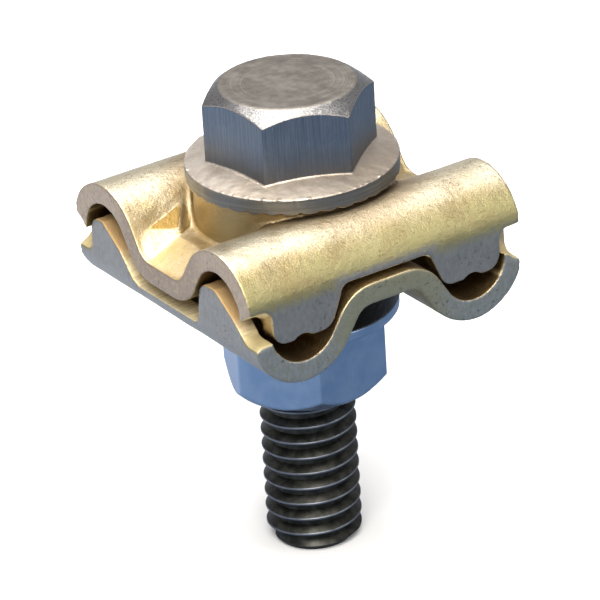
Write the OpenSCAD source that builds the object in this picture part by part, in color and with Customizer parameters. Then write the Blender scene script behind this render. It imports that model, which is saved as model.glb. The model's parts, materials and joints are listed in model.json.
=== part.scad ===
/* [Bolt] */
// Diameter over the bolt's thread
thread_d = 7.94; // [6.4:0.01:8.2]
// Distance from one turn of the thread to the next
thread_pitch = 1.411; // [1:0.001:1.6]
// Length of the bolt under its head
bolt_len = 33; // [30:0.1:44]
// Length of the cone on the bolt's free end
tip_h = 0.9; // [0.4:0.05:1.4]
// Diameter of the flange under the bolt head
head_flange_d = 17.26; // [16.6:0.02:20]
// Height of the flange's upright rim
head_rim_h = 1.39; // [0.9:0.01:2]
// Rise of the flange's cone between the rim and the hexagon
head_cone_h = 0.75; // [0.3:0.05:1.2]
// Height of the whole head, flange included
head_h = 7.8; // [6.4:0.1:10]
// Width across the flats of the bolt head and of the nut
hex_af = 12.2; // [11:0.1:13.2]
// Diameter of the turned flat on top of the head
head_top_d = 11; // [9:0.1:11.8]
// Angle of a hexagon corner of the head, from the upper ridges
head_turn = 38.5; // [0:0.5:60]
// Number of serrations under the flange
serrations = 36; // [24:1:48]
// Depth of the serrations at the flange's edge
serration_h = 0.15; // [0.1:0.05:0.4]

/* [Nut] */
// Diameter of the nut's flange
nut_flange_d = 16; // [14.6:0.1:18]
// Height of the nut flange's upright rim
nut_rim_h = 0.85; // [0.5:0.05:1.4]
// Height of the whole nut, flange included
nut_h = 7.45; // [6:0.05:9]
// Angle of a hexagon corner of the nut, from the upper ridges
nut_turn = 7; // [0:0.5:60]

/* [Plates] */
// Thickness of the pressed plate
sheet_t = 1.8; // [1.4:0.05:2]
// Length of a plate along its ridges
plate_len = 26; // [25:0.1:30]
// Distance between the two ridges of a plate
ridge_spacing = 16.3; // [16:0.1:18]
// Outer radius of a ridge
ridge_r = 4.75; // [4.5:0.05:5]
// Height of the ridge tops above the plane between the plates
ridge_top = 5.38; // [5:0.02:5.5]
// Slope of the inner flank of a ridge
flank_angle = 57; // [52:1:62]
// Height of the valley floor above the plane between the plates
valley_h = 0.85; // [0.6:0.05:1]
// Radius between a flank and the valley floor
valley_r = 1.8; // [1:0.1:2]
// How much the ridge's round is cut flat along its outer side
side_trim = 0.2; // [0.05:0.01:0.3]
// Height of the raised floor round the boss
floor_h = 2; // [1.6:0.05:2.4]
// Distance from the bolt at which the raised floor starts to fall
floor_x = 9.6; // [9:0.1:10.2]

/* [Boss] */
// Height of the boss above the plane between the plates
boss_h = 5.6; // [5.5:0.02:6.2]
// Diameter of the boss at its top
boss_d = 16.2; // [15:0.1:16.5]
// Draft of the boss wall
boss_draft = 2; // [0.5:0.5:4]

/* [Side lobes] */
// Height of the cut side edge above the plane between the plates
edge_h = 1.5; // [1.4:0.05:1.8]
// How much nearer to that plane the inner edge of a plate's corner tip is
tip_slope_h = 0.95; // [0.4:0.05:1.1]
// Radius where a lobe runs into a corner tip
tip_root_r = 0.85; // [0.5:0.05:1]
// How far a lobe reaches past the plane between the plates
lobe_drop = 1.8; // [1.5:0.05:2.1]
// Lean of a lobe's inner side, which follows the flank of the other plate
lobe_lean = 22; // [8:1:28]
// Radius of a lobe's corners
lobe_corner_r = 1.3; // [1:0.05:1.6]
// Radius where a lobe runs into the cut edge
lobe_root_r = 0.9; // [0.5:0.05:1]
// Depth of the notch in a lobe's end
notch_depth = 0.35; // [0.2:0.05:0.6]
// Radius of the notch in a lobe's end
notch_r = 1.2; // [0.9:0.05:1.4]

/* [Fits] */
// Room between a lobe and each side of the channel that it enters
lobe_gap = 0.2; // [0.15:0.01:0.3]
// Room all round the bolt in the nut
thread_gap = 0.05; // [0.02:0.01:0.09]
// Room all round the bolt in the plates
hole_gap = 0.4; // [0.2:0.05:0.6]

/* [Hidden] */
$fn = 96;

// Plane between the plates: the boss of the upper plate touches the bolt head
mid_z = bolt_len - boss_h;
// Channel under a ridge, which a conductor lies in
channel_r = ridge_r - sheet_t;
ridge_y = ridge_spacing / 2;
ridge_z = ridge_top - ridge_r;
plate_half_w = ridge_y + ridge_r - side_trim;
lobe_half_w = channel_r - lobe_gap;
plate_hole_r = thread_d / 2 + hole_gap;
hex_corner_r = hex_af / sqrt(3);
// Far enough to pass right through a plate, in any direction
reach = plate_len / 2 + boss_h;
// A flank leaves the ridge's round a few degrees past its tangent
blend = 4;
// A small lap where two rounds and flats meet
lap = 0.005;

// Flank lines of the section, at the ridge's outer and channel radius
flank_pa = 90 + flank_angle + blend;
flank_dir = [cos(flank_angle), sin(flank_angle)];
flank_out = [sin(flank_angle), -cos(flank_angle)];
flank_top = [ridge_y, ridge_z] + ridge_r * [cos(flank_pa), sin(flank_pa)];
flank_low = [ridge_y, ridge_z] + channel_r * [cos(flank_pa), sin(flank_pa)];
valley_under = valley_h - sheet_t;
corner_top = flank_top - flank_dir * (flank_top[1] - valley_h) / flank_dir[1];
corner_low = flank_low - flank_dir * (flank_low[1] - valley_under) / flank_dir[1];
valley_run = valley_r * tan(flank_angle / 2);
valley_c = [corner_top[0] - valley_run, valley_h + valley_r];

// Depth of the thread and height of one of its flanks, with 60 degrees between flanks
thread_depth = 0.54 * thread_pitch;
thread_flank = thread_depth * tan(30);
thread_crest = thread_pitch / 8;
thread_turns = floor((bolt_len - tip_h) / thread_pitch - 0.5);

// Point of an arc
function on_arc(c, r, a) = c + r * [cos(a), sin(a)];
// Points of a round corner, from one angle to another
function corner_arc(c, r, a0, a1) = [for (i = [0:8]) on_arc(c, r, a0 + (a1 - a0) * i / 8)];
// Groove that one turn of the thread leaves in the bolt's outline
function thread_groove(z) = [
    [thread_d / 2, z],
    [thread_d / 2 - thread_depth, z + thread_flank],
    [thread_d / 2 - thread_depth, z + thread_pitch - thread_crest - thread_flank],
    [thread_d / 2, z + thread_pitch - thread_crest]
];
// Where the flank's top face stands at a height
function flank_y(z) = flank_top[0] - (flank_top[1] - z) / tan(flank_angle);

// Corner between the valley and a flank, as a kite from the round's centre
module corner_kite(corner, run) {
    depth = 0.3;
    polygon([
        valley_c,
        [valley_c[0], corner[1] - depth],
        corner + depth * [tan(flank_angle / 2), -1],
        corner + run * flank_dir + depth * flank_out
    ]);
}

// Half of the pressed section, filled down to below the lobes
module half_section() {
    low = -lobe_drop - 1;
    intersection() {
        union() {
            translate([ridge_y, ridge_z])
                circle(r = ridge_r);
            polygon([
                [ridge_y, ridge_z],
                flank_top + ridge_r * sin(blend) * flank_dir,
                corner_top,
                [-0.5, valley_h],
                [-0.5, low],
                [plate_half_w + 1, low],
                [plate_half_w + 1, ridge_z]
            ]);
            difference() {
                corner_kite(corner_top, valley_run);
                translate(valley_c)
                    circle(r = valley_r + lap);
            }
        }
        translate([-0.5, low])
            square([plate_half_w + 0.5, ridge_top - low + 1]);
    }
}

// Half of the space under the section: a channel and the valley's underside
module half_space() {
    wall_y = ridge_y + channel_r - 0.02;
    low_run = (valley_r + sheet_t) * tan(flank_angle / 2);
    translate([ridge_y, ridge_z])
        circle(r = channel_r);
    polygon([
        [ridge_y, ridge_z],
        flank_low + channel_r * sin(blend) * flank_dir,
        corner_low,
        [-0.5, valley_under],
        [-0.5, -reach],
        [wall_y, -reach],
        [wall_y, ridge_z]
    ]);
    difference() {
        corner_kite(corner_low, low_run);
        translate(valley_c)
            circle(r = valley_r + sheet_t - lap);
    }
}

// A half section and its mirror image, drawn out along the ridges
module along_ridges(length) {
    rotate([90, 0, 90])
        linear_extrude(height = length, center = true) {
            children();
            mirror([1, 0])
                children();
        }
}

// A shape and its mirror images, at each corner of a plate
module at_four_corners() {
    for (sx = [0, 1])
        for (sy = [0, 1])
            mirror([sx, 0, 0])
                mirror([0, sy, 0])
                    children();
}

// What is cut from a plate's side between and under its lobes
module half_side_cut() {
    a = ridge_y - lobe_half_w;
    b = ridge_y + lobe_half_w;
    bottom = -lobe_drop;
    corner_z = bottom + lobe_corner_r;
    root_a = a - (edge_h - bottom) * tan(lobe_lean);
    // Run of a round of radius 1 between a level line and the leaning side
    lean_run = (1 - sin(lobe_lean)) / cos(lobe_lean);
    notch_c = [ridge_y, bottom - notch_r + notch_depth];
    notch_a = asin((notch_r - notch_depth) / notch_r);
    polygon(concat(
        [[-0.5, -reach], [-0.5, edge_h]],
        corner_arc(
            [root_a - lobe_root_r * lean_run, edge_h - lobe_root_r],
            lobe_root_r, 90, lobe_lean
        ),
        corner_arc(
            [a + lobe_corner_r * lean_run, corner_z],
            lobe_corner_r, 180 + lobe_lean, 270
        ),
        corner_arc(notch_c, notch_r, 180 - notch_a, notch_a),
        corner_arc([b - lobe_corner_r, corner_z], lobe_corner_r, 270, 360),
        [[reach, corner_z], [reach, -reach]]
    ));
}

// What is cut from a plate's corner outside a lobe, up to a sloping edge
module tip_cut() {
    inner_y = ridge_y + channel_r;
    lobe_x = ridge_y + lobe_half_w;
    tilt = atan2(tip_slope_h, plate_half_w - inner_y);
    translate([0, plate_half_w, edge_h])
        rotate([tilt, 0, 0])
            rotate([90, 0, 0])
                linear_extrude(height = 2 * ridge_r, center = true)
                    polygon(concat(
                        [[lobe_x, -reach]],
                        corner_arc([lobe_x + tip_root_r, -tip_root_r], tip_root_r, 180, 90),
                        [[reach, 0], [reach, -reach]]
                    ));
}

// Raised floor round the boss, falling to the valley at both ends
module raised_floor() {
    end_x = plate_len / 2 - 0.4;
    floor_w = 2 * flank_y(floor_h) + 1;
    rotate([90, 0, 0])
        linear_extrude(height = floor_w, center = true)
            polygon([
                [-end_x, valley_under + 0.2],
                [-end_x, valley_h - 0.02],
                [-floor_x, floor_h],
                [floor_x, floor_h],
                [end_x, valley_h - 0.02],
                [end_x, valley_under + 0.2]
            ]);
}

// Three-sided dart between the raised floor and a ridge's flank
module dart() {
    top_z = floor_h + 1.6;
    end_z = valley_h + 1.4;
    apex = [boss_d / 2 - 0.4, flank_y(top_z) + 0.35, top_z];
    tail = [floor_x + 2.4, flank_y(end_z), end_z];
    foot = [floor_x + 0.1, flank_y(floor_h) - 0.75, floor_h];
    toe = [floor_x + 2.2, flank_y(valley_h + 0.4), valley_h + 0.4];
    heel = [boss_d / 2 - 1.2, flank_y(floor_h) - 0.3, floor_h];
    sunk = [0, 0.9, -0.9];
    hull()
        for (p = [apex, tail, foot, toe, heel])
            for (d = [[0, 0, 0], sunk])
                translate(p + d)
                    cube(0.02, center = true);
}

// One pressed plate, ridges along X, its middle plane at z = 0
module plate() {
    difference() {
        union() {
            along_ridges(plate_len)
                half_section();
            translate([0, 0, valley_under])
                cylinder(
                    h = boss_h - valley_under,
                    r1 = boss_d / 2 + (boss_h - valley_under) * tan(boss_draft),
                    r2 = boss_d / 2
                );
            raised_floor();
            at_four_corners()
                dart();
        }
        along_ridges(plate_len + 4)
            half_space();
        for (side = [-1, 1])
            translate([0, side * (ridge_y + channel_r + 2), 0])
                rotate([90, 0, 0])
                    linear_extrude(height = 5, center = true) {
                        half_side_cut();
                        mirror([1, 0])
                            half_side_cut();
                    }
        at_four_corners()
            tip_cut();
        translate([0, 0, -reach])
            cylinder(h = reach + boss_h - sheet_t, r = boss_d / 2 - sheet_t);
        translate([0, 0, -reach])
            cylinder(h = 2 * reach, r = plate_hole_r);
    }
}

// Hexagon between two heights
module hexagon(z0, z1, turn) {
    rotate([0, 0, turn])
        translate([0, 0, z0])
            cylinder(h = z1 - z0, r = hex_corner_r, $fn = 6);
}

module flange_bolt() {
    top_z = bolt_len + head_h;
    rim_r = head_flange_d / 2;
    rim_z = bolt_len + head_rim_h;
    neck_r = hex_af / 2 - 0.2;
    top_r = head_top_d / 2;
    chamfer_h = (hex_corner_r + 0.5 - top_r) * tan(36);
    color("silver")
        union() {
            difference() {
                rotate_extrude()
                    polygon(concat(
                        [[0, 0], [thread_d / 2 - tip_h, 0]],
                        [for (i = [0:thread_turns - 1]) each thread_groove(tip_h + i * thread_pitch)],
                        [
                            [thread_d / 2, bolt_len],
                            [rim_r, bolt_len],
                            [rim_r, rim_z],
                            [neck_r, rim_z + head_cone_h],
                            [0, rim_z + head_cone_h]
                        ]
                    ));
                for (i = [0:serrations - 1])
                    rotate([0, 0, i * 360 / serrations])
                        translate([rim_r, 0, bolt_len])
                            rotate([0, 8, 0])
                                rotate([45, 0, 0])
                                    cube(
                                        [3, serration_h * sqrt(2), serration_h * sqrt(2)],
                                        center = true
                                    );
            }
            intersection() {
                hexagon(bolt_len + 0.5, top_z, head_turn);
                rotate_extrude()
                    polygon([
                        [0, bolt_len],
                        [hex_corner_r + 0.5, bolt_len],
                        [hex_corner_r + 0.5, top_z - chamfer_h],
                        [top_r, top_z],
                        [0, top_z]
                    ]);
            }
        }
}

module upper_plate() {
    color("goldenrod")
        translate([0, 0, mid_z])
            plate();
}

// The same pressing, turned over and across the upper one
module lower_plate() {
    color("darkgoldenrod")
        translate([0, 0, mid_z])
            rotate([180, 0, 90])
                plate();
}

module flange_nut() {
    top_z = mid_z - boss_h;
    low_z = top_z - nut_h;
    rim_r = nut_flange_d / 2;
    neck_r = hex_af / 2 - 0.2;
    bore_r = thread_d / 2 + thread_gap;
    low_r = hex_af / 2 - 0.2;
    color("lightsteelblue")
        difference() {
            union() {
                rotate_extrude()
                    polygon([
                        [0, top_z],
                        [rim_r, top_z],
                        [rim_r, top_z - nut_rim_h],
                        [neck_r, top_z - nut_rim_h - 0.9],
                        [0, top_z - nut_rim_h - 0.9]
                    ]);
                intersection() {
                    hexagon(low_z, top_z - 0.4, nut_turn);
                    rotate_extrude()
                        polygon([
                            [0, low_z],
                            [low_r, low_z],
                            [hex_corner_r + 0.5, low_z + hex_corner_r + 0.5 - low_r],
                            [hex_corner_r + 0.5, top_z],
                            [0, top_z]
                        ]);
                }
            }
            translate([0, 0, low_z - 1])
                cylinder(h = nut_h + 2, r = bore_r);
        }
}

flange_bolt();
upper_plate();
lower_plate();
flange_nut();
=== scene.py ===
import json
import math

import bpy
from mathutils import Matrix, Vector, noise

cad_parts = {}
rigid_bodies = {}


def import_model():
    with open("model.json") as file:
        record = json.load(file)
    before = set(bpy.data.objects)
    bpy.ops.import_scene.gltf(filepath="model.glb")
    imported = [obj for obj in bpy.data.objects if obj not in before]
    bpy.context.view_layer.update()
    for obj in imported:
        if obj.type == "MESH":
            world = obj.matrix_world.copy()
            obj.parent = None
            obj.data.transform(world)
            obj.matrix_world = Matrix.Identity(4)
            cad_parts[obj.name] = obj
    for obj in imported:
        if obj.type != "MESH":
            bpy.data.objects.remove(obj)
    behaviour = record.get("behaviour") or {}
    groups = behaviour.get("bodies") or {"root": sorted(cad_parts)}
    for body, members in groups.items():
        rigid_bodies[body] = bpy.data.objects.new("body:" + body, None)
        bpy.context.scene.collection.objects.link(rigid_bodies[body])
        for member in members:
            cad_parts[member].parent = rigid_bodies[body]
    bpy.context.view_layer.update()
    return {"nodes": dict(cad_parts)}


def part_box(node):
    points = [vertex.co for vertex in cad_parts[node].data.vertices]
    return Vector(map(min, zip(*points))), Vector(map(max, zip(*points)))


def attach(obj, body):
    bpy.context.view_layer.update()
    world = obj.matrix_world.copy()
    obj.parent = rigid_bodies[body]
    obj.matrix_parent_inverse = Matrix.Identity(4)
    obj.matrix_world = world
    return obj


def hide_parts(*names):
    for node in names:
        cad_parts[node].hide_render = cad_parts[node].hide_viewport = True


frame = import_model()

# Sizes in metres, from the frame and from the standard thread
MM = 0.001
# Points nearer than this are one point
TOUCH = 0.0001 * MM
upper_low, upper_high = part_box("upper_plate")
lower_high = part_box("lower_plate")[1]
bolt_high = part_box("flange_bolt")[1]
THREAD_R = 3.97 * MM
PITCH = 25.4 / 18 * MM
# The upper plate's boss and the bolt head touch at this height
SEAT_Z = upper_high.z
RIM_R = bolt_high.x
RIM_TOP_Z = SEAT_Z + 1.39 * MM
HEAD_TOP_Z = bolt_high.z
CROWN_R = 5.5 * MM
# Both plates are the same pressing, on either side of this plane
MIDDLE_Z = (upper_low.z + lower_high.z) / 2
HALF_LENGTH = (upper_high.x - upper_low.x) / 2
HALF_WIDTH = (upper_high.y - upper_low.y) / 2

# A ridge's axis, in millimetres from the bolt and from the plane between the plates
RIDGE_OFFSET = 8.15
RIDGE_AXIS_HEIGHT = 0.63

# Colours of the brass where it is clean, stained and cut, and of its painted highlights,
# reflections and shade
GOLD_DEEP = (0.64, 0.50, 0.27, 1)
GOLD_PALE = (0.74, 0.62, 0.41, 1)
RIDGE_HIGHLIGHT_PALE = (0.84, 0.78, 0.62, 1)
OLIVE_SIDE_SHADE = (0.40, 0.365, 0.17, 1)
STAIN_BROWN = (0.36, 0.25, 0.12, 1)
NICK_BROWN = (0.20, 0.13, 0.06, 1)
FLANGE_SHADE_BROWN = (0.30, 0.19, 0.09, 1)
SPECK_BROWN = (0.26, 0.17, 0.07, 1)
GRAIN_BROWN = (0.34, 0.25, 0.12, 1)
FACET_SHADE_GOLD = (0.25, 0.155, 0.04, 1)
CHANNEL_SHADE_BROWN = (0.20, 0.115, 0.04, 1)
BOSS_SHADE_GOLD = (0.30, 0.23, 0.11, 1)
UPPER_END_GRAYS = (0.455, 0.355, 0.262, 1), (0.565, 0.445, 0.332, 1)
LOWER_END_GRAYS = (0.35, 0.35, 0.315, 1), (0.43, 0.43, 0.395, 1)
SIDE_GRAYS = (0.31, 0.298, 0.275, 1), (0.36, 0.348, 0.322, 1)
VALLEY_GRAY = (0.41, 0.315, 0.235, 1)
ARCH_GOLD = (0.42, 0.37, 0.19, 1)
UPPER_RUBBED = (0.60, 0.47, 0.29, 1)
LOWER_RUBBED = (0.36, 0.335, 0.22, 1)
DIRT = (0.09, 0.085, 0.07, 1)
HOLLOW_SHADE_BROWN = (0.26, 0.19, 0.09, 1)
GRIME_AND_SHADE_BROWN = (0.10, 0.055, 0.02, 1)
SHELF_HIGHLIGHT_PALE = (0.84, 0.72, 0.46, 1)
SHELF_DEEP = (0.66, 0.54, 0.31, 1)
CORNER_SHADE_GOLD = (0.44, 0.36, 0.17, 1)
LOBE_GOLD = (0.56, 0.37, 0.17, 1)
BOSS_SHADOW_BLACK = (0.004, 0.004, 0.004, 1)

# Colours of the bolt and the nut, darker and lighter patches, and painted reflections and shade
CONE_GRAYS = (0.80, 0.715, 0.62, 1), (0.58, 0.50, 0.42, 1)
CONE_REFLECTION_BROWN = (0.36, 0.295, 0.225, 1)
CHAMFER_GRAYS = (0.17, 0.164, 0.160, 1), (0.40, 0.388, 0.378, 1)
FLAT_BLUE_REFLECTIONS = (0.116, 0.150, 0.199, 1), (0.171, 0.208, 0.264, 1)
FOOT_BROWN = (0.155, 0.135, 0.11, 1)
CROWN_GRAYS = (0.25, 0.225, 0.195, 1), (0.38, 0.35, 0.31, 1)
RIM_GRAYS = (0.13, 0.13, 0.125, 1), (0.21, 0.21, 0.20, 1)
STEEL_GRIME_AND_SHADE = (0.09, 0.07, 0.05, 1)
THREAD_SHADE_BLACKS = (0.034, 0.034, 0.030, 1), (0.076, 0.076, 0.067, 1)
CREST_BLUE_REFLECTION = (0.26, 0.285, 0.34, 1)
ZINC_BLUES = (0.230, 0.340, 0.515, 1), (0.290, 0.400, 0.565, 1)
ZINC_DULL = (0.24, 0.30, 0.40, 1)


def photo_camera():
    """The camera stands where the photograph was taken from, leaning a little."""
    elevation = math.radians(26.34)
    azimuth = math.radians(32.89)
    roll = math.radians(3.58)
    distance = 350 * MM
    aim_height = 21.45 * MM
    aim_shift = -0.07 * MM
    right = Vector((math.cos(azimuth), -math.sin(azimuth), 0))
    back = Vector((
        -math.sin(azimuth) * math.cos(elevation),
        -math.cos(azimuth) * math.cos(elevation),
        math.sin(elevation),
    ))
    up = back.cross(right)
    side = right * math.cos(roll) - up * math.sin(roll)
    top = right * math.sin(roll) + up * math.cos(roll)
    bpy.ops.object.camera_add()
    camera = bpy.context.object
    camera.name = "photo_camera"
    place = camera.matrix_world
    for column, axis in enumerate((side, top, back)):
        for row in range(3):
            place[row][column] = axis[row]
    place.translation = right * aim_shift + Vector((0, 0, aim_height)) + back * distance
    camera.matrix_world = place
    camera.data.lens = 259.4
    camera.data.sensor_width = 36
    camera.data.clip_start = 0.01
    camera.data.clip_end = 50
    bpy.context.scene.camera = camera


def only(piece):
    """Deselects everything, then selects this piece and makes it active."""
    bpy.ops.object.select_all(action="DESELECT")
    piece.select_set(True)
    bpy.context.view_layer.objects.active = piece


def apply_modifier(piece, kind, **settings):
    """Adds a modifier with these settings and applies it."""
    only(piece)
    bpy.ops.object.modifier_add(type=kind)
    modifier = piece.modifiers[-1]
    for name, value in settings.items():
        setattr(modifier, name, value)
    bpy.ops.object.modifier_apply(modifier=modifier.name)


def copy_of_node(node, name):
    """A copy of a CAD node's mesh with its triangles merged, as the start of a piece."""
    piece = bpy.data.objects.new(name, frame["nodes"][node].data.copy())
    bpy.context.collection.objects.link(piece)
    piece.data.materials.clear()
    only(piece)
    bpy.ops.mesh.customdata_custom_splitnormals_clear()
    bpy.ops.object.mode_set(mode="EDIT")
    bpy.ops.mesh.select_all(action="SELECT")
    bpy.ops.mesh.remove_doubles(threshold=0.0005 * MM)
    bpy.ops.object.mode_set(mode="OBJECT")
    return piece


def round_edges(piece, grain, passes):
    """Wears the sharp edges round: an even mesh of this grain, smoothed away from its edges."""
    only(piece)
    piece.data.remesh_voxel_size = grain
    bpy.ops.object.voxel_remesh()
    bpy.ops.object.mode_set(mode="EDIT")
    bpy.ops.mesh.select_mode(type="EDGE")
    bpy.ops.mesh.select_all(action="DESELECT")
    bpy.ops.mesh.edges_select_sharp(sharpness=math.radians(14))
    bpy.ops.mesh.select_mode(type="VERT")
    for ring in range(2):
        bpy.ops.mesh.select_more()
    bpy.ops.mesh.select_all(action="INVERT")
    bpy.ops.mesh.vertices_smooth(factor=0.5, repeat=30)
    bpy.ops.object.mode_set(mode="OBJECT")
    apply_modifier(piece, "SMOOTH", factor=0.5, iterations=passes)
    only(piece)
    bpy.ops.object.shade_smooth()


def dent(piece, name, size, depth):
    """Uneven surface as a tool or a tumbling drum leaves it."""
    cloud = bpy.data.textures.new(name, "CLOUDS")
    cloud.noise_scale = size
    cloud.noise_depth = 1
    apply_modifier(piece, "DISPLACE", texture=cloud, strength=depth, mid_level=0.8)


def numbers_where(piece, test):
    """The numbers of the points that pass a test."""
    return [vertex.index for vertex in piece.data.vertices if test(vertex)]


def soften(piece, numbers, passes):
    """Smooths the points with these numbers."""
    only(piece)
    bpy.ops.object.mode_set(mode="EDIT")
    bpy.ops.mesh.select_mode(type="VERT")
    bpy.ops.mesh.select_all(action="DESELECT")
    bpy.ops.object.mode_set(mode="OBJECT")
    for number in numbers:
        piece.data.vertices[number].select = True
    bpy.ops.object.mode_set(mode="EDIT")
    bpy.ops.mesh.vertices_smooth(factor=0.5, repeat=passes)
    bpy.ops.object.mode_set(mode="OBJECT")


def on_plate(point, along_x, up):
    """Where a point lies on its plate: along the ridges, across them, and outwards."""
    x, y = abs(point.x), abs(point.y)
    along, across = (x, y) if along_x else (y, x)
    return along, across, up * (point.z - MIDDLE_Z)


def plane_height(corners, x, y):
    """Height at a place of the plane through three corners."""
    a, b, c = corners
    out = (b - a).cross(c - a)
    return a.z - (out.x * (x - a.x) + out.y * (y - a.y)) / out.z


def raise_darts(plate, along_x, up):
    """Draws out the four three-sided darts between the raised floor and the flanks."""
    apex = Vector((7.64, 4.56, 3.76)) * MM
    tail = Vector((11.65, 3.85, 2.71)) * MM
    foot = Vector((9.2, 2.8, 2.4)) * MM
    heel = Vector((8.1, 3.0, 1.9)) * MM
    toe = Vector((9.6, 2.45, 1.95)) * MM
    facets = ((apex, tail, foot), (apex, foot, heel), (tail, foot, toe))

    def at_dart(vertex):
        along, across, height = on_plate(vertex.co, along_x, up)
        return (
            7.2 * MM < along < 12.4 * MM
            and 1.9 * MM < across < 5.0 * MM
            and 1.0 * MM < height < 3.9 * MM
            and up * vertex.normal.z > 0.15
        )

    numbers = numbers_where(plate, at_dart)
    for number in numbers:
        point = plate.data.vertices[number].co
        along, across, height = on_plate(point, along_x, up)
        roof = min(plane_height(facet, along, across) for facet in facets)
        point.z = MIDDLE_Z + up * max(roof, height)
    soften(plate, numbers, passes=2)


def slant_lobes(plate):
    """Cuts the lower plate's left side deeper between its lobes and slants their near sides."""
    outer_x, inner_x = -14 * MM, -9.6 * MM
    # Places along the side, and depths under the plane between the plates
    between = (
        (9.5, -2.1), (6.6, -0.1), (5.3, 1.4), (4.4, 2.2), (-4.1, 2.2), (-4.6, 1.5), (-5.3, -2.1)
    )
    before = ((-6.9, -2.1), (-9.8, -0.1), (-11.2, 1.1), (-13.6, 1.2), (-13.6, -2.1))
    for outline in (between, before):
        cutter = draw_profile(
            "cutter", [(outer_x, y * MM, MIDDLE_Z - depth * MM) for y, depth in outline]
        )
        bpy.ops.object.mode_set(mode="EDIT")
        bpy.ops.mesh.select_all(action="SELECT")
        bpy.ops.mesh.edge_face_add()
        bpy.ops.mesh.extrude_region_move(
            TRANSFORM_OT_translate={"value": (inner_x - outer_x, 0, 0)}
        )
        bpy.ops.mesh.select_all(action="SELECT")
        bpy.ops.mesh.normals_make_consistent(inside=False)
        bpy.ops.object.mode_set(mode="OBJECT")
        apply_modifier(plate, "BOOLEAN", operation="DIFFERENCE", solver="EXACT", object=cutter)
        only(cutter)
        bpy.ops.object.delete()


def pressed_plate(node, name, along_x, up):
    """A pressed plate with edges worn round in the tumbling drum."""
    plate = copy_of_node(node, name)
    if up < 0:
        slant_lobes(plate)
    round_edges(plate, grain=0.17 * MM, passes=3)

    def at_boss_foot(vertex):
        radius = math.hypot(vertex.co.x, vertex.co.y)
        height = on_plate(vertex.co, along_x, up)[2]
        return 7.8 * MM < radius < 9.2 * MM and 1.4 * MM < height < 4.8 * MM

    def at_cut_edge(vertex):
        across, height = on_plate(vertex.co, along_x, up)[1:]
        return across > HALF_WIDTH - 2.4 * MM and 0.9 * MM < height < 2.2 * MM

    soften(plate, numbers_where(plate, at_boss_foot), passes=12)
    soften(plate, numbers_where(plate, at_cut_edge), passes=7)
    raise_darts(plate, along_x, up)
    dent(plate, name + "_waves", size=3.2 * MM, depth=0.07 * MM)
    dent(plate, name + "_pits", size=0.55 * MM, depth=0.025 * MM)
    return plate


def bolt_head():
    """Hexagon head with its flange, cut from the bolt just above the seat."""
    head = copy_of_node("flange_bolt", "bolt_head")
    bpy.ops.object.mode_set(mode="EDIT")
    bpy.ops.mesh.select_all(action="SELECT")
    bpy.ops.mesh.bisect(
        plane_co=(0, 0, SEAT_Z + 0.02 * MM), plane_no=(0, 0, 1), use_fill=True,
        clear_inner=True, threshold=TOUCH,
    )
    bpy.ops.object.mode_set(mode="OBJECT")
    round_edges(head, grain=0.105 * MM, passes=2)

    def at_crown_edge(vertex):
        off_edge = math.hypot(vertex.co.x, vertex.co.y) - CROWN_R
        return abs(off_edge) < 0.45 * MM and vertex.co.z > HEAD_TOP_Z - 0.6 * MM

    soften(head, numbers_where(head, at_crown_edge), passes=8)
    dent(head, "forge_marks", size=0.8 * MM, depth=0.045 * MM)
    for vertex in head.data.vertices:
        vertex.co += rim_burr(vertex.co)
    return head


def rim_burr(point):
    """How far a point of the flange's rim is moved: burrs on its upper edge, and the ends
    of the serrations on its lower edge."""
    burr_height, burr_reach = 0.13 * MM, 0.3 * MM
    wave_height, wave_reach = 0.14 * MM, 0.6 * MM
    serrations = 36
    angle = math.atan2(point.y, point.x)
    ring = Vector((math.cos(angle), math.sin(angle), 0))
    radius = math.hypot(point.x, point.y)
    shift = Vector((0, 0, 0))
    off_edge = math.hypot(radius - RIM_R, point.z - RIM_TOP_Z)
    if off_edge < burr_reach:
        rough = noise.noise(ring * 19) + 0.7 * noise.noise(ring * 47)
        height = burr_height * max(0, rough) * (1 - off_edge / burr_reach)
        shift += ring * height * 0.3 + Vector((0, 0, height))
    off_edge = math.hypot(radius - RIM_R, point.z - SEAT_Z)
    if off_edge < wave_reach:
        wave = 0.5 + 0.35 * math.cos(serrations * angle) + 0.6 * noise.noise(ring * 13)
        shift.z += wave_height * max(0, wave) * (1 - off_edge / wave_reach)
    return shift


def draw_profile(name, points):
    """An edge line through points, drawn by extruding one vertex."""
    bpy.ops.object.select_all(action="DESELECT")
    bpy.ops.mesh.primitive_plane_add(size=MM)
    line = bpy.context.object
    line.name = name
    bpy.ops.object.mode_set(mode="EDIT")
    bpy.ops.mesh.merge(type="CENTER")
    here = Vector((0, 0, 0))
    for number, point in enumerate(points):
        step = Vector(point) - here
        if number == 0:
            bpy.ops.transform.translate(value=step)
        else:
            bpy.ops.mesh.extrude_region_move(TRANSFORM_OT_translate={"value": step})
        here += step
    bpy.ops.object.mode_set(mode="OBJECT")
    return line


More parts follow.
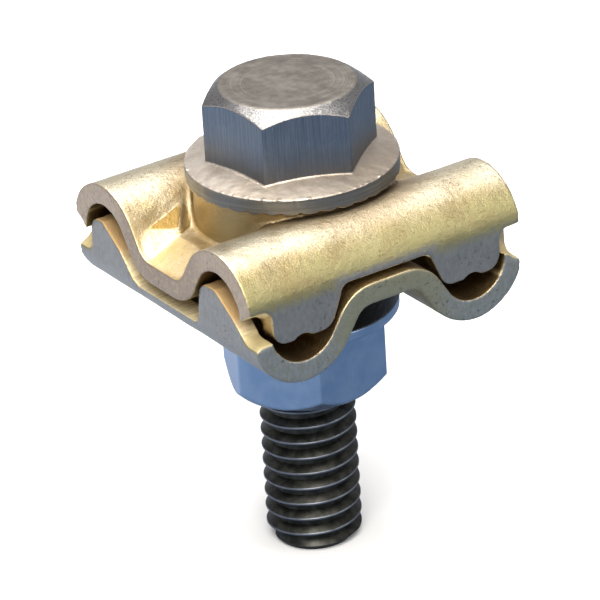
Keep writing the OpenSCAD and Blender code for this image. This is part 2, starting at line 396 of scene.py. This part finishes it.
def bolt_thread():
    """The right-hand thread: one pitch of its outline, screwed up the bolt and cut off."""
    root_r = THREAD_R - 0.54 * PITCH
    crest = PITCH / 8
    root = PITCH / 4
    soft = 0.05 * MM
    # The photograph shows a crest at this height, on this side of the bolt
    crest_z = 11.7 * MM
    crest_turn = 224 / 360
    turns = math.ceil(SEAT_Z / PITCH) + 4
    start = (crest_z - PITCH * (0.5 + crest_turn)) % PITCH - 3 * PITCH
    outline = [
        (root_r, 0),
        (root_r, root / 2),
        (THREAD_R - soft, PITCH / 2 - crest / 2 - soft / 2),
        (THREAD_R, PITCH / 2 - crest / 2 + soft),
        (THREAD_R, PITCH / 2 + crest / 2 - soft),
        (THREAD_R - soft, PITCH / 2 + crest / 2 + soft / 2),
        (root_r, PITCH - root / 2),
        (root_r, PITCH),
    ]
    thread = draw_profile("bolt_thread", [(r, 0, z + start) for r, z in outline])
    apply_modifier(
        thread, "SCREW", axis="Z", angle=math.tau, screw_offset=PITCH, iterations=turns,
        steps=96, render_steps=96, use_merge_vertices=True, merge_threshold=0.001 * MM,
    )
    only(thread)
    bpy.ops.object.mode_set(mode="EDIT")
    for height, above in ((0, False), (SEAT_Z + 0.5 * MM, True)):
        bpy.ops.mesh.select_all(action="SELECT")
        bpy.ops.mesh.bisect(
            plane_co=(0, 0, height), plane_no=(0, 0, 1), use_fill=True,
            clear_inner=not above, clear_outer=above, threshold=TOUCH,
        )
    bpy.ops.mesh.select_all(action="SELECT")
    bpy.ops.mesh.remove_doubles(threshold=0.001 * MM)
    bpy.ops.mesh.normals_make_consistent(inside=False)
    bpy.ops.object.mode_set(mode="OBJECT")
    # The free end is chamfered
    tip_r = THREAD_R - 0.9 * MM
    for vertex in thread.data.vertices:
        radius = math.hypot(vertex.co.x, vertex.co.y)
        limit = tip_r + vertex.co.z
        if radius > limit:
            vertex.co.x *= limit / radius
            vertex.co.y *= limit / radius
    only(thread)
    bpy.ops.object.shade_smooth_by_angle(angle=math.radians(40))
    return thread


def hexagon_nut():
    """The flange nut with its edges dulled by the plating."""
    nut = copy_of_node("flange_nut", "hexagon_nut")
    round_edges(nut, grain=0.13 * MM, passes=4)
    return nut


class Finish:
    """A material's nodes, added one at a time. Lengths in it are in millimetres."""

    def __init__(self, name):
        self.material = bpy.data.materials.new(name)
        self.material.use_nodes = True
        self.tree = self.material.node_tree
        self.shader = self.tree.nodes["Principled BSDF"]
        coordinates = self.add("ShaderNodeTexCoord")
        self.place = self.add(
            "ShaderNodeVectorMath", {0: coordinates.outputs["Object"], "Scale": 1000},
            operation="SCALE",
        ).outputs[0]
        self.x, self.y, self.z = self.parts(self.place)
        self.nx, self.ny, self.nz = self.parts(coordinates.outputs["Normal"])

    def add(self, kind, inputs=None, **settings):
        node = self.tree.nodes.new(kind)
        for name, value in settings.items():
            setattr(node, name, value)
        for name, value in (inputs or {}).items():
            self.feed(node.inputs[name], value)
        return node

    def feed(self, socket, value):
        """Links a node's output to a socket, or sets the socket to a plain value."""
        if isinstance(value, bpy.types.NodeSocket):
            self.tree.links.new(value, socket)
        else:
            socket.default_value = value

    def parts(self, vector):
        return self.add("ShaderNodeSeparateXYZ", {0: vector}).outputs

    def math(self, operation, a, b=0.0):
        return self.add("ShaderNodeMath", {0: a, 1: b}, operation=operation).outputs[0]

    def rise(self, value, low, high):
        """0 below low, 1 above high, and smooth between; it falls where low is above high."""
        turned = low > high
        return self.add(
            "ShaderNodeMapRange",
            {
                "Value": value,
                "From Min": min(low, high),
                "From Max": max(low, high),
                "To Min": 1.0 if turned else 0.0,
                "To Max": 0.0 if turned else 1.0,
            },
            interpolation_type="SMOOTHSTEP",
        ).outputs[0]

    def all_of(self, first, *others):
        for other in others:
            first = self.math("MULTIPLY", first, other)
        return first

    def either(self, first, *others):
        for other in others:
            first = self.math("MAXIMUM", first, other)
        return first

    def length(self, a, b):
        """Length of the way that goes a one way and b square to it."""
        square = self.math("ADD", self.all_of(a, a), self.all_of(b, b))
        return self.math("SQRT", square)

    def radius(self):
        return self.length(self.x, self.y)

    def noise(self, size, detail=2.0, rough=0.5, stretch=(1, 1, 1), shift=(0, 0, 0)):
        """Noise with spots of this size; stretch draws them out along the axes."""
        scale = [1 / (size * s) for s in stretch]
        place = self.add(
            "ShaderNodeMapping", {"Vector": self.place, "Scale": scale, "Location": shift}
        ).outputs[0]
        return self.add(
            "ShaderNodeTexNoise",
            {"Vector": place, "Scale": 1.0, "Detail": detail, "Roughness": rough},
        ).outputs[0]

    def mix(self, share, a, b):
        """A colour between a and b."""
        node = self.add("ShaderNodeMix", data_type="RGBA")
        self.feed(node.inputs[0], share)
        self.feed(node.inputs[6], a)
        self.feed(node.inputs[7], b)
        return node.outputs[2]

    def mottled(self, pattern, low, high, colors):
        """Two colours in the patches of a pattern."""
        return self.mix(self.rise(pattern, low, high), *colors)

    def blend(self, share, a, b):
        """A number between a and b."""
        return self.add(
            "ShaderNodeMapRange", {"Value": share, "To Min": a, "To Max": b}
        ).outputs[0]

    def hollows(self, depth):
        """1 in the open, falling to 0 deep in a hollow."""
        return self.add(
            "ShaderNodeAmbientOcclusion", {"Distance": depth * MM}, samples=8
        ).outputs["AO"]

    def bump(self, height, depth, under=None):
        inputs = {"Height": height, "Distance": depth * MM, "Strength": 1.0}
        if under is not None:
            inputs["Normal"] = under
        return self.add("ShaderNodeBump", inputs).outputs[0]

    def finish(self, color, roughness, normal=None, metallic=1.0):
        self.feed(self.shader.inputs["Base Color"], color)
        self.feed(self.shader.inputs["Roughness"], roughness)
        self.feed(self.shader.inputs["Metallic"], metallic)
        if normal is not None:
            self.feed(self.shader.inputs["Normal"], normal)
        return self.material


def tumbled_brass(name, along_x, up, end_grays):
    """Bare pressed brass: satin gold with specks and stains, gray where it was sheared and as a
    painted reflection, with painted highlights and painted shade.
    """
    m = Finish(name)
    is_upper = up > 0
    half_len, half_w = HALF_LENGTH / MM, HALF_WIDTH / MM
    along, across = (m.x, m.y) if along_x else (m.y, m.x)
    n_along, n_across = (m.nx, m.ny) if along_x else (m.ny, m.nx)
    along, across, n_along, n_across = (
        m.math("ABSOLUTE", part) for part in (along, across, n_along, n_across)
    )
    height = m.math("MULTIPLY", m.math("SUBTRACT", m.z, MIDDLE_Z / MM), up)
    patches = m.noise(2.6, 3, 0.55)
    grain = m.noise(0.16, 4, 0.7)
    rough = m.noise(0.35, 4, 0.66, (1, 1, 2))
    marks = m.noise(0.22, 2, 0.5, (1, 8, 8) if along_x else (8, 1, 8))

    gold = m.mottled(patches, 0.35, 0.7, (GOLD_DEEP, GOLD_PALE))
    # The ridges' tops are painted pale as a highlight, most of all on the upper plate
    painted_highlight_tops = m.all_of(m.rise(height, 4.0, 5.2), 0.7 if is_upper else 0.25)
    gold = m.mix(painted_highlight_tops, gold, RIDGE_HIGHLIGHT_PALE)
    # Outside, the ridges' steep sides are painted olive as shade
    painted_shade_steep = m.all_of(m.rise(n_across, 0.40, 0.88), m.rise(across, 8.5, 11.0), 0.9)
    gold = m.mix(painted_shade_steep, gold, OLIVE_SIDE_SHADE)
    stains = m.all_of(m.rise(m.noise(3.4, 4, 0.66, shift=(9, 2, 5)), 0.50, 0.66), 0.40)
    gold = m.mix(stains, gold, STAIN_BROWN)
    nicks = m.all_of(
        m.rise(m.noise(0.14, 3, 0.6, (6, 1, 1) if along_x else (1, 6, 1), (5, 1, 8)), 0.62, 0.68),
        m.rise(m.noise(2.2, 2, 0.5, shift=(1, 4, 2)), 0.48, 0.6), 0.75,
    )
    gold = m.mix(nicks, gold, NICK_BROWN)
    # Painted shade: brown on the ridges' tops under the bolt's flange
    painted_shade_under_flange = m.all_of(m.rise(m.radius(), 12.0, 9.5), m.rise(height, 3.6, 4.6), 0.55)
    gold = m.mix(painted_shade_under_flange, gold, FLANGE_SHADE_BROWN)
    specks = m.all_of(
        m.rise(m.noise(0.24, 4, 0.72, shift=(3, 7, 1)), 0.57, 0.65),
        m.rise(patches, 0.40, 0.56), 0.75,
    )
    gold = m.mix(specks, gold, SPECK_BROWN)
    gold = m.mix(m.all_of(m.rise(grain, 0.45, 0.62), 0.22), gold, GRAIN_BROWN)

    # The dart's facet is painted a deeper, darker gold, as shade
    facet = m.all_of(
        m.rise(along, 7.4, 7.8), m.rise(along, 12.4, 11.6),
        m.rise(n_across, 0.40, 0.47), m.rise(n_across, 0.66, 0.58),
        m.rise(height, 1.9, 2.2), m.rise(height, 3.7, 3.4), 0.95,
    )
    gold = m.mix(facet, gold, FACET_SHADE_GOLD)

    # The channels are painted brown inside, as shade
    from_axis = m.length(
        m.math("SUBTRACT", across, RIDGE_OFFSET), m.math("SUBTRACT", height, RIDGE_AXIS_HEIGHT)
    )
    inside = m.all_of(m.rise(from_axis, 3.5, 3.15), m.blend(patches, 0.6, 0.95))
    gold = m.mix(inside, gold, CHANNEL_SHADE_BROWN)

    # The boss wall under the flange is painted a darker gold, as shade
    boss = m.all_of(
        m.rise(m.radius(), 9.3, 8.9),
        m.rise(m.math("ABSOLUTE", m.nz), 0.6, 0.4),
        m.rise(height, 1.5, 2.0),
    )
    gold = m.mix(m.all_of(boss, 0.9), gold, BOSS_SHADE_GOLD)

    # The ends and the sides are gray, partly as the shears left them and partly as a painted
    # reflection of the gray surroundings
    end_gray = m.mottled(rough, 0.35, 0.62, end_grays)
    side_gray = m.mottled(rough, 0.35, 0.62, SIDE_GRAYS)
    at_end = m.all_of(
        m.rise(along, half_len - 0.45, half_len - 0.2), m.rise(n_along, 0.55, 0.85)
    )
    sheared = m.rise(m.math("ADD", m.nz, m.blend(rough, -0.2, 0.2)), 0.40, 0.10)
    if is_upper:
        # On the lobes the gold is drawn down over the edge
        lobe = m.rise(m.math("ADD", height, m.blend(rough, -0.8, 0.8)), 2.1, 0.8)
        sheared = m.either(lobe, m.all_of(sheared, m.rise(along, 5.6, 4.2)))
        end_gray = m.mix(m.rise(across, 7.0, 3.8), end_gray, VALLEY_GRAY)
    else:
        arch = m.all_of(m.rise(across, 6.6, 3.8), m.blend(patches, 0.4, 0.9))
        end_gray = m.mix(arch, end_gray, ARCH_GOLD)
    at_side = m.all_of(
        m.rise(across, half_w - 1.5, half_w - 1.1), m.rise(n_across, 0.66, 0.84), sheared
    )
    rubbed = m.all_of(m.rise(m.noise(0.5, 4, 0.7, shift=(2, 6, 4)), 0.50, 0.62), 0.55)
    end_gray = m.mix(rubbed, end_gray, UPPER_RUBBED if is_upper else LOWER_RUBBED)
    color = m.mix(at_end, gold, end_gray)
    color = m.mix(at_side, color, side_gray)
    dirt = m.all_of(
        m.rise(m.noise(0.3, 4, 0.75, shift=(4, 4, 9)), 0.56, 0.64),
        m.rise(m.noise(2.4, 2, 0.5, shift=(7, 3, 6)), 0.44, 0.60),
        m.either(at_end, at_side), 0.65,
    )
    color = m.mix(dirt, color, DIRT)
    # Painted shade: brown in the hollows
    open_sky = m.hollows(2.5)
    color = m.mix(m.all_of(m.rise(open_sky, 0.78, 0.5), 0.5), color, HOLLOW_SHADE_BROWN)
    # Grime with painted shade, brown-black deep in the hollows
    grime_and_shade = m.all_of(m.rise(open_sky, 0.45, 0.1), m.blend(patches, 0.5, 0.9))
    color = m.mix(grime_and_shade, color, GRIME_AND_SHADE_BROWN)

    # The cut edge between the lobes is rough, with marks of the shears; its pale gold is a
    # painted highlight, and near the ends it is painted darker, as shade
    facing = m.math("MULTIPLY", m.nz, -up)
    shelf = m.all_of(
        m.rise(facing, 0.45, 0.7),
        m.rise(across, half_w - 2.3, half_w - 2.0),
        m.rise(height, 0.2, 0.5) if is_upper else m.rise(height, -2.1, -1.9),
    )
    shelf_gold = m.mottled(marks, 0.48, 0.66, (SHELF_HIGHLIGHT_PALE, SHELF_DEEP))
    shaded_corner = m.all_of(m.rise(along, 10.6, 11.2), 0.8)
    shelf_gold = m.mix(shaded_corner, shelf_gold, CORNER_SHADE_GOLD)
    shelf_gold = m.mix(m.rise(height, 1.0, -0.4), shelf_gold, LOBE_GOLD)
    color = m.mix(shelf, color, shelf_gold)

    # The wall of the lower boss is painted black, as shadow
    if not is_upper:
        color = m.mix(m.all_of(boss, 0.98), color, BOSS_SHADOW_BLACK)
    roughness = m.math("ADD", m.blend(grain, 0.31, 0.49), m.all_of(shelf, 0.3))
    normal = m.bump(grain, 0.042, m.bump(m.noise(0.6, 2, 0.5), 0.04))
    return m.finish(color, roughness, normal, m.blend(shelf, 1.0, 0.5))


def worked_steel():
    """Stainless head: sheared flats painted blue as a reflection, turned top and flange with its
    front painted browner as a reflection, bright chamfer.
    """
    m = Finish("worked_steel")
    radius = m.radius()
    seat, top = SEAT_Z / MM, HEAD_TOP_Z / MM
    upright = m.rise(m.math("ABSOLUTE", m.nz), 0.4, 0.2)
    flats = m.all_of(upright, m.rise(radius, 7.8, 7.4))
    rim = m.all_of(upright, m.rise(radius, 8.2, 8.5))
    crown = m.all_of(m.rise(m.nz, 0.86, 0.985), m.rise(m.z, top - 0.3, top - 0.1))
    chamfer = m.all_of(
        m.rise(m.nz, 0.5, 0.65), m.rise(m.nz, 0.96, 0.90), m.rise(m.z, top - 3.2, top - 2.6)
    )
    streaks = m.noise(0.09, 3, 0.6, (1, 1, 60))
    lines = m.noise(0.10, 3, 0.6, (60, 60, 1))
    smudges = m.noise(1.3, 4, 0.68)
    grain = m.noise(0.13, 4, 0.75)
    # The turning marks fade towards the middle of the crown
    out_only = m.add("ShaderNodeCombineXYZ", {0: radius}).outputs[0]
    turned = m.add(
        "ShaderNodeTexNoise", {"Vector": out_only, "Scale": 5.0, "Detail": 3.0}
    ).outputs[0]
    turned = m.blend(m.rise(radius, 1.5, 4.0), 0.5, turned)
    rings = m.math("ADD", m.all_of(turned, 0.55), m.all_of(smudges, 0.45))

    cone_color = m.mottled(smudges, 0.35, 0.66, CONE_GRAYS)
    # The flange's cone is painted browner on its front side, as a reflection of the brass
    cone_color = m.mix(m.all_of(m.rise(m.y, 4.0, -8.0), 0.75), cone_color, CONE_REFLECTION_BROWN)
    # The flats are painted blue-gray, as a reflection of the blue surroundings
    flat_color = m.mottled(streaks, 0.3, 0.7, FLAT_BLUE_REFLECTIONS)
    foot = m.all_of(m.rise(m.z, top - 2.5, seat + 1.8), m.blend(smudges, 0.4, 0.95))
    flat_color = m.mix(foot, flat_color, FOOT_BROWN)
    color = m.mix(chamfer, cone_color, m.mottled(grain, 0.35, 0.65, CHAMFER_GRAYS))
    color = m.mix(flats, color, flat_color)
    color = m.mix(rim, color, m.mottled(lines, 0.3, 0.7, RIM_GRAYS))
    color = m.mix(crown, color, m.mottled(rings, 0.38, 0.64, CROWN_GRAYS))
    # Grime with painted shade, dark deep in the hollows
    grime_and_shade = m.all_of(m.rise(m.hollows(1.2), 0.55, 0.15), 0.8)
    color = m.mix(grime_and_shade, color, STEEL_GRIME_AND_SHADE)
    roughness = m.blend(chamfer, m.blend(smudges, 0.36, 0.54), 0.30)
    cut = m.math("ADD", m.all_of(streaks, flats), m.all_of(lines, rim))
    cut = m.math("ADD", cut, m.all_of(turned, crown))
    cut = m.math("ADD", cut, m.all_of(grain, chamfer))
    normal = m.bump(cut, 0.014, m.bump(grain, 0.014))
    return m.finish(color, roughness, normal)


def oiled_thread():
    """Rolled thread: oily flanks painted near black, as shade, and crests rubbed bright with a
    painted blue reflection.
    """
    m = Finish("oiled_thread")
    thread_r = THREAD_R / MM
    patches = m.noise(0.9, 3, 0.6)
    flank = m.mottled(patches, 0.35, 0.7, THREAD_SHADE_BLACKS)
    crest = m.all_of(
        m.rise(m.radius(), thread_r - 0.07, thread_r - 0.01), m.blend(patches, 0.4, 1.0)
    )
    color = m.mix(crest, flank, CREST_BLUE_REFLECTION)
    roughness = m.blend(patches, 0.32, 0.5)
    return m.finish(color, roughness, m.bump(m.noise(0.1, 2), 0.006))


def blue_zinc():
    """Bright zinc plating with a blue passivated skin."""
    m = Finish("blue_zinc")
    clouds = m.noise(1.8, 3, 0.55)
    weave = m.noise(0.2, 3, 0.6, (1, 1, 5))
    color = m.mottled(clouds, 0.3, 0.7, ZINC_BLUES)
    color = m.mix(m.rise(weave, 0.62, 0.8), color, ZINC_DULL)
    roughness = m.blend(clouds, 0.26, 0.38)
    return m.finish(color, roughness, m.bump(weave, 0.008))


def stage():
    """Plain pale floor, a blue card that only reflections see, and soft light."""
    bpy.ops.object.select_all(action="DESELECT")
    bpy.ops.mesh.primitive_plane_add(size=8, location=(0, 0, -0.02 * MM))
    floor = bpy.context.object
    floor.name = "floor"
    paper = Finish("floor_paper")
    tone = paper.mix(paper.noise(40.0), (0.86, 0.86, 0.86, 1), (0.88, 0.88, 0.88, 1))
    floor.data.materials.append(paper.finish(tone, 0.9, metallic=0.0))

    # The card is dark in front and lighter behind on the left
    bpy.ops.mesh.primitive_circle_add(
        vertices=128, radius=0.5, fill_type="NGON", location=(0, 0, -0.01 * MM)
    )
    card = bpy.context.object
    card.name = "reflection_card"
    blue = Finish("card_blue")
    behind = blue.math("SUBTRACT", blue.all_of(blue.y, 0.83), blue.all_of(blue.x, 0.55))
    tone = blue.mix(blue.rise(behind, -25, 60), (0.13, 0.165, 0.22, 1), (0.38, 0.42, 0.50, 1))
    card.data.materials.append(blue.finish(tone, 1.0, metallic=0.0))
    for kind in ("camera", "diffuse", "shadow", "transmission", "volume_scatter"):
        setattr(card, "visible_" + kind, False)

    lights = (
        ("key", (-0.30, -0.40, 0.60), 0.45, 8.0, (1.0, 0.97, 0.92)),
        ("overhead", (0.0, 0.12, 0.80), 0.55, 7.0, (1.0, 0.98, 0.95)),
        ("side", (0.42, -0.60, 0.43), 0.3, 1.2, (1.0, 0.98, 0.95)),
    )
    for name, place, size, power, tint in lights:
        bpy.ops.object.light_add(type="AREA", location=place)
        lamp = bpy.context.object
        lamp.name = name
        lamp.data.size = size
        lamp.data.energy = power
        lamp.data.color = tint
        aim = Vector((0, 0, MIDDLE_Z)) - Vector(place)
        lamp.rotation_euler = aim.to_track_quat("-Z", "Y").to_euler()

    world = bpy.data.worlds.new("studio")
    bpy.context.scene.world = world
    world.use_nodes = True
    sky = world.node_tree.nodes["Background"]
    sky.inputs["Color"].default_value = (0.94, 0.95, 1.0, 1)
    sky.inputs["Strength"].default_value = 0.45


def place_piece(piece, body, node, material):
    """Gives a piece its finish and lets it ride on its body in place of the CAD node."""
    piece.data.materials.clear()
    piece.data.materials.append(material)
    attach(piece, body)
    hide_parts(node)


photo_camera()
stage()

upper = pressed_plate("upper_plate", "upper_pressing", True, 1)
upper_brass = tumbled_brass("upper_brass", True, 1, UPPER_END_GRAYS)
place_piece(upper, "upper_clamp", "upper_plate", upper_brass)
lower = pressed_plate("lower_plate", "lower_pressing", False, -1)
lower_brass = tumbled_brass("lower_brass", False, -1, LOWER_END_GRAYS)
place_piece(lower, "lower_clamp", "lower_plate", lower_brass)
place_piece(bolt_head(), "bolt", "flange_bolt", worked_steel())
place_piece(bolt_thread(), "bolt", "flange_bolt", oiled_thread())
place_piece(hexagon_nut(), "lower_clamp", "flange_nut", blue_zinc())

bpy.context.scene.view_settings.view_transform = "Standard"

bpy.context.view_layer.update()
